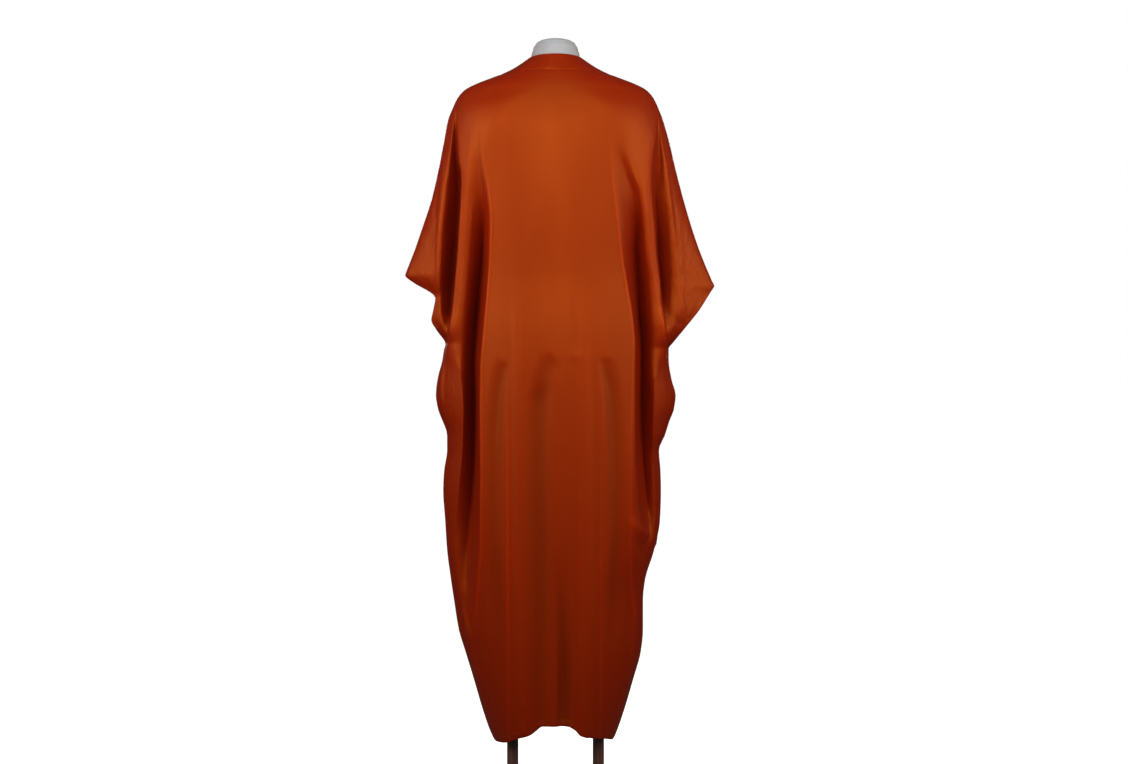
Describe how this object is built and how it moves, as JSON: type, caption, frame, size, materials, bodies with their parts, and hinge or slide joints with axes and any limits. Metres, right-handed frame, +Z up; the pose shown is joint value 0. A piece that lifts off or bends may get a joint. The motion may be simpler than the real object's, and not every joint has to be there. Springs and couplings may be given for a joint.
{
  "type": "kaftan on a dress form",
  "caption": "Long satin kaftan with batwing sleeves and a narrow hem, worn by a limbless dress form on posts and a base plate.",
  "frame": {"origin": "centre of the base plate's underside", "axes": "+Z up, the garment's front faces -Y, the wearer's left is +X"},
  "size_m": [0.6301, 0.29, 1.548],
  "materials": {
    "satin": "burnt orange satin with a soft gloss",
    "linen": "pale matte linen cover",
    "post_wood": "dark brown polish",
    "base_enamel": "dark brown enamel"
  },
  "bodies": {
    "root": {"back": "satin", "front": "satin", "neck_band": "satin", "form": "linen", "post_left": "post_wood", "post_right": "post_wood", "base": "base_enamel"}
  },
  "joints": []
}
